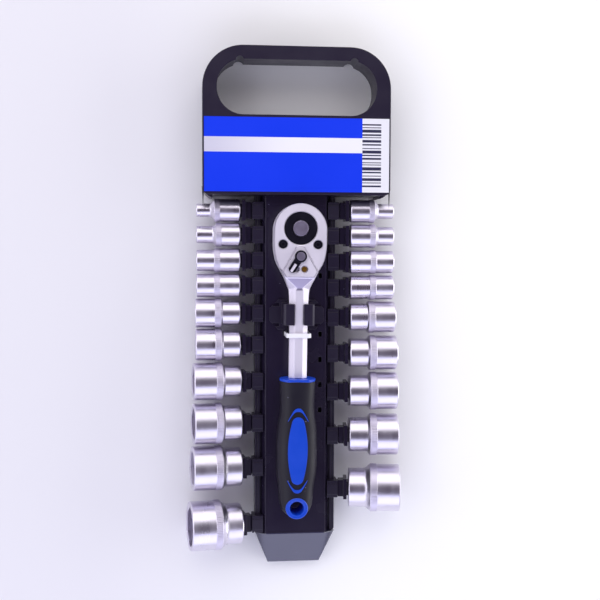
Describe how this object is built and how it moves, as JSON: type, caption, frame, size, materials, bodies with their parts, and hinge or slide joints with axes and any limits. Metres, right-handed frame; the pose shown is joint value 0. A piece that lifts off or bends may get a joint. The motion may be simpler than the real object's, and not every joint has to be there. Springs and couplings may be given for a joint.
{
  "type": "socket wrench set on a rack",
  "caption": "Flat black rack with a carrying handle and a label; hexagon sockets sit on side studs in two columns, and a quick-release ratchet is clipped down the middle.",
  "frame": {"origin": "on the back plane the rack lies on, on its mid-plane and half way along its whole length", "axes": "+Z out of the rack's face, +Y towards the handle, +X towards the column of odd sizes"},
  "size_m": [0.1523, 0.3608, 0.0461],
  "materials": {
    "rack_plastic": "moulded black polypropylene, fine satin grain",
    "stud_plastic": "moulded black nylon, satin",
    "label_blue": "coated card printed blue",
    "label_silver": "coated card printed as a silver band",
    "label_white": "coated white card with printed bars",
    "tie_nylon": "natural white nylon",
    "ratchet_steel": "pearl chrome on forged steel",
    "socket_chrome": "satin chrome on steel, with a knurled band",
    "gear_steel": "oiled machined steel",
    "black_steel": "black oxide",
    "detent_brass": "plain brass",
    "grip_rubber": "soft black over-moulding, matt",
    "grip_blue": "hard blue plastic, satin"
  },
  "bodies": {
    "rack": {"spine": "rack_plastic", "handle": "rack_plastic", "end_cap": "rack_plastic", "rail_left": "rack_plastic", "rail_right": "rack_plastic", "studs_left": "stud_plastic", "studs_right": "stud_plastic", "label_card": "label_blue", "label_band": "label_silver", "label_code": "label_white", "clip": "rack_plastic", "clip_lips": "rack_plastic", "cable_tie": "tie_nylon"},
    "ratchet": {"ratchet_forging": "ratchet_steel", "cover_plate": "ratchet_steel", "cover_screws": "black_steel", "detent_ball": "detent_brass", "grip_body": "grip_rubber", "grip_collar": "grip_blue", "grip_inlay": "grip_blue", "grip_crescents": "grip_blue", "grip_ring": "grip_blue"},
    "drive": {"drive_gear": "gear_steel", "square_drive": "ratchet_steel", "drive_disc": "black_steel", "lock_ball": "gear_steel", "release_spring": "gear_steel"},
    "button": {"release_button": "ratchet_steel"},
    "selector": {"selector_lever": "black_steel", "lever_cap": "ratchet_steel", "pawl": "gear_steel"},
    "socket_06": {"socket_06": "socket_chrome"},
    "socket_07": {"socket_07": "socket_chrome"},
    "socket_08": {"socket_08": "socket_chrome"},
    "socket_09": {"socket_09": "socket_chrome"},
    "socket_10": {"socket_10": "socket_chrome"},
    "socket_11": {"socket_11": "socket_chrome"},
    "socket_12": {"socket_12": "socket_chrome"},
    "socket_13": {"socket_13": "socket_chrome"},
    "socket_14": {"socket_14": "socket_chrome"},
    "socket_15": {"socket_15": "socket_chrome"},
    "socket_16": {"socket_16": "socket_chrome"},
    "socket_17": {"socket_17": "socket_chrome"},
    "socket_18": {"socket_18": "socket_chrome"},
    "socket_19": {"socket_19": "socket_chrome"},
    "socket_20": {"socket_20": "socket_chrome"},
    "socket_21": {"socket_21": "socket_chrome"},
    "socket_22": {"socket_22": "socket_chrome"},
    "socket_23": {"socket_23": "socket_chrome"},
    "socket_24": {"socket_24": "socket_chrome"}
  },
  "joints": [
    {"name": "ratchet_lift", "type": "slide", "parent": "rack", "child": "ratchet", "axis": [0, 0, 1], "range_m": [0, 0.05], "deforming": ["clip_lips", "cable_tie"]},
    {"name": "drive_spin", "type": "hinge", "parent": "ratchet", "child": "drive", "pos_m": [0.00136, 0.05715, 0.0265], "axis": [0, 0, 1], "continuous": true},
    {"name": "release_press", "type": "slide", "parent": "drive", "child": "button", "axis": [0, 0, -1], "range_m": [0, 0.002], "stiffness_N_per_m": 400, "springref_m": -0.0005, "deforming": ["release_spring"]},
    {"name": "selector_turn", "type": "hinge", "parent": "ratchet", "child": "selector", "pos_m": [0.00112, 0.03835, 0.042], "axis": [0, 0, 1], "range_deg": [0, 65]},
    {"name": "pull_06", "type": "slide", "parent": "rack", "child": "socket_06", "axis": [-1, 0, 0], "range_m": [0, 0.035]},
    {"name": "pull_07", "type": "slide", "parent": "rack", "child": "socket_07", "axis": [1, 0, 0], "range_m": [0, 0.035]},
    {"name": "pull_08", "type": "slide", "parent": "rack", "child": "socket_08", "axis": [-1, 0, 0], "range_m": [0, 0.035]},
    {"name": "pull_09", "type": "slide", "parent": "rack", "child": "socket_09", "axis": [1, 0, 0], "range_m": [0, 0.035]},
    {"name": "pull_10", "type": "slide", "parent": "rack", "child": "socket_10", "axis": [-1, 0, 0], "range_m": [0, 0.035]},
    {"name": "pull_11", "type": "slide", "parent": "rack", "child": "socket_11", "axis": [1, 0, 0], "range_m": [0, 0.035]},
    {"name": "pull_12", "type": "slide", "parent": "rack", "child": "socket_12", "axis": [-1, 0, 0], "range_m": [0, 0.035]},
    {"name": "pull_13", "type": "slide", "parent": "rack", "child": "socket_13", "axis": [1, 0, 0], "range_m": [0, 0.035]},
    {"name": "pull_14", "type": "slide", "parent": "rack", "child": "socket_14", "axis": [-1, 0, 0], "range_m": [0, 0.035]},
    {"name": "pull_15", "type": "slide", "parent": "rack", "child": "socket_15", "axis": [1, 0, 0], "range_m": [0, 0.035]},
    {"name": "pull_16", "type": "slide", "parent": "rack", "child": "socket_16", "axis": [-0.9994, 0, 0.0349], "range_m": [0, 0.035]},
    {"name": "pull_17", "type": "slide", "parent": "rack", "child": "socket_17", "axis": [0.9998, 0, 0.0175], "range_m": [0, 0.035]},
    {"name": "pull_18", "type": "slide", "parent": "rack", "child": "socket_18", "axis": [-0.9954, 0, 0.0958], "range_m": [0, 0.035]},
    {"name": "pull_19", "type": "slide", "parent": "rack", "child": "socket_19", "axis": [0.999, 0, 0.0436], "range_m": [0, 0.035]},
    {"name": "pull_20", "type": "slide", "parent": "rack", "child": "socket_20", "axis": [-0.9914, 0, 0.1305], "range_m": [0, 0.035]},
    {"name": "pull_21", "type": "slide", "parent": "rack", "child": "socket_21", "axis": [0.9976, 0, 0.0698], "range_m": [0, 0.035]},
    {"name": "pull_22", "type": "slide", "parent": "rack", "child": "socket_22", "axis": [-0.9914, 0, 0.1305], "range_m": [0, 0.035]},
    {"name": "pull_23", "type": "slide", "parent": "rack", "child": "socket_23", "axis": [0.9921, 0, 0.1253], "range_m": [0, 0.035]},
    {"name": "pull_24", "type": "slide", "parent": "rack", "child": "socket_24", "axis": [-0.9866, 0, 0.1633], "range_m": [0, 0.035]}
  ]
}
